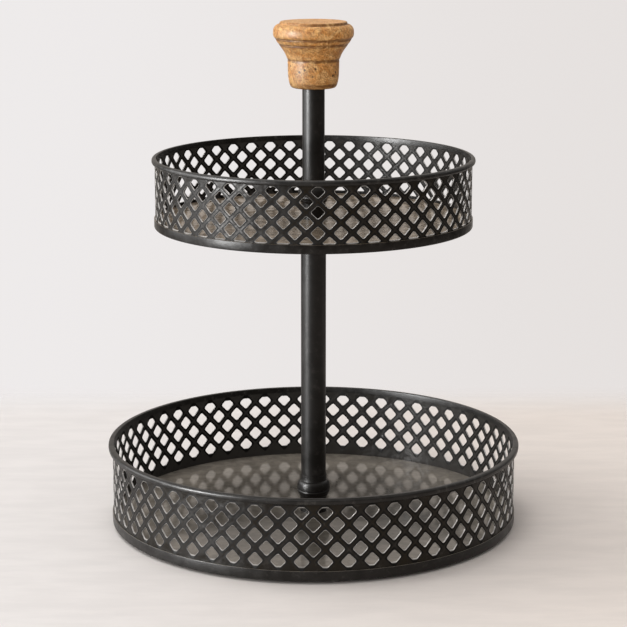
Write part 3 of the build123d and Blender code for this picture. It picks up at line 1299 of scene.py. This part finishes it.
def makeFloor():
    look = stageLook
    deselectAll()
    bpy.ops.mesh.primitive_plane_add(size=look["floorSize"], location=(0, 0, 0))
    floor = bpy.context.active_object
    floor.name = "paleFloor"
    material, tree, shader = newMaterial("pale_floor", **look["floorFinish"])
    points = objectPoints(tree)
    axes = axesOf(tree, points)
    grain = noise(tree, mapped(tree, points, Scale=look["grainStretch"]), **look["grain"])
    across = mapRange(tree, axes["X"], *look["floorSide"])
    pale = mixColours(tree, across, look["floorLeft"], look["floorRight"])
    shaded = vectorMaths(tree, "MULTIPLY", pale, mapRange(tree, grain, *look["grainShade"]))
    tree.links.new(shaded, shader.inputs["Base Color"])
    # the floor melts into the backdrop behind the stand, and to the camera far out on every side
    clear = addNode(tree, "ShaderNodeBsdfTransparent").outputs["BSDF"]
    fade = mapRange(tree, axes["Y"], *look["fade"])
    away = vectorMaths(tree, "LENGTH", points, output="Value")
    seen = addNode(tree, "ShaderNodeLightPath").outputs["Is Camera Ray"]
    fade = larger(tree, fade, times(tree, seen, mapRange(tree, away, *look["far"])))
    shown = {0: fade, 1: shader.outputs["BSDF"], 2: clear}
    shown = addNode(tree, "ShaderNodeMixShader", shown).outputs["Shader"]
    tree.links.new(shown, tree.nodes["Material Output"].inputs["Surface"])
    floor.data.materials.append(material)


def makeWorld():
    look = stageLook
    world = bpy.data.worlds.new("studio")
    bpy.context.scene.world = world
    world.use_nodes = True
    tree = world.node_tree
    tree.nodes.clear()
    path = addNode(tree, "ShaderNodeLightPath").outputs
    axes = axesOf(tree, coordinates(tree)["Generated"])
    across = mapRange(tree, axes["X"], *look["backdropSide"])
    backdrop = mixColours(tree, across, look["backdropLeft"], look["backdropRight"])
    ahead = mapRange(tree, axes["Y"], *look["ahead"])
    inner = fallOff(tree, maths(tree, "ABSOLUTE", axes["X"]), *look["aside"])
    behind = times(tree, ahead, inner)
    mirrored = mixColours(tree, behind, look["dimSide"], look["mirrored"])
    above = mapRange(tree, axes["Z"], *look["above"])
    mirrored = mixColours(tree, above, mirrored, look["overhead"])
    # the camera sees the backdrop, shiny paint the mirrored room and all else the ambient light
    seen = mixColours(tree, path["Is Glossy Ray"], backdrop, mirrored)
    shows = larger(tree, path["Is Camera Ray"], path["Is Glossy Ray"])
    shows = larger(tree, shows, path["Is Transmission Ray"])
    rise = mapRange(tree, axes["Z"], *look["ambientRise"])
    ambient = mixColours(tree, rise, look["ambientLow"], look["ambientHigh"])
    colour = mixColours(tree, shows, ambient, seen)
    sky = addNode(tree, "ShaderNodeBackground", {"Color": colour, "Strength": 1.0})
    output = addNode(tree, "ShaderNodeOutputWorld")
    tree.links.new(sky.outputs["Background"], output.inputs["Surface"])


# a sheen lamp only draws a sheen on the paint, and a soft lamp draws none; all aim at the axis
lamps = {
    "window": {"kind": "full", "power": 37, "size": (2.4, 1.8), "place": (-2.6, 0.5, 1.3), "aim": 0.2},
    "strip": {"kind": "sheen", "power": 150, "size": (0.55, 0.98), "place": (-1.7, -0.88, 0.5), "aim": 0.2},
    "side": {"kind": "sheen", "power": 8, "size": (0.6, 0.8), "place": (-1.35, 0.32, 0.42), "aim": 0.2},
    "front": {"kind": "soft", "power": 13, "size": (1.0, 1.0), "place": (-1.0, -1.75, 0.60), "aim": 0.2},
    "fill": {"kind": "sheen", "power": 1.2, "size": (1.0, 1.0), "place": (1.4, 0.7, 0.7), "aim": 0.18},
    "top": {"kind": "full", "power": 18, "size": (1.5, 1.5), "place": (-0.5, 0.2, 2.1), "aim": 0.1},
}


def addObject(name, data, place):
    added = bpy.data.objects.new(name, data)
    bpy.context.scene.collection.objects.link(added)
    added.location = place
    return added


def makeLamp(name, lamp):
    data = bpy.data.lights.new(name, "AREA")
    data.shape = "RECTANGLE"
    data.size, data.size_y = lamp["size"]
    data.energy = lamp["power"]
    light = addObject(name, data, lamp["place"])
    aim = Vector((0, 0, lamp["aim"])) - Vector(lamp["place"])
    light.rotation_euler = aim.to_track_quat("-Z", "Y").to_euler()
    light.visible_diffuse = lamp["kind"] != "sheen"
    light.visible_glossy = lamp["kind"] != "soft"


cameraView = {"place": (0, -1.5, 0.4931), "tiltDown": 12.57, "lens": 117.82, "sensor": 36}


def makeCamera():
    data = bpy.data.cameras.new("camera")
    camera = addObject("camera", data, cameraView["place"])
    camera.rotation_euler = (math.radians(90 - cameraView["tiltDown"]), 0, 0)
    data.sensor_width = cameraView["sensor"]
    data.lens = cameraView["lens"]
    bpy.context.scene.camera = camera


makeFloor()
makeWorld()
for name, lamp in lamps.items():
    makeLamp(name, lamp)
makeCamera()
bpy.context.scene.view_settings.view_transform = "Standard"
print("floor, light and camera set")
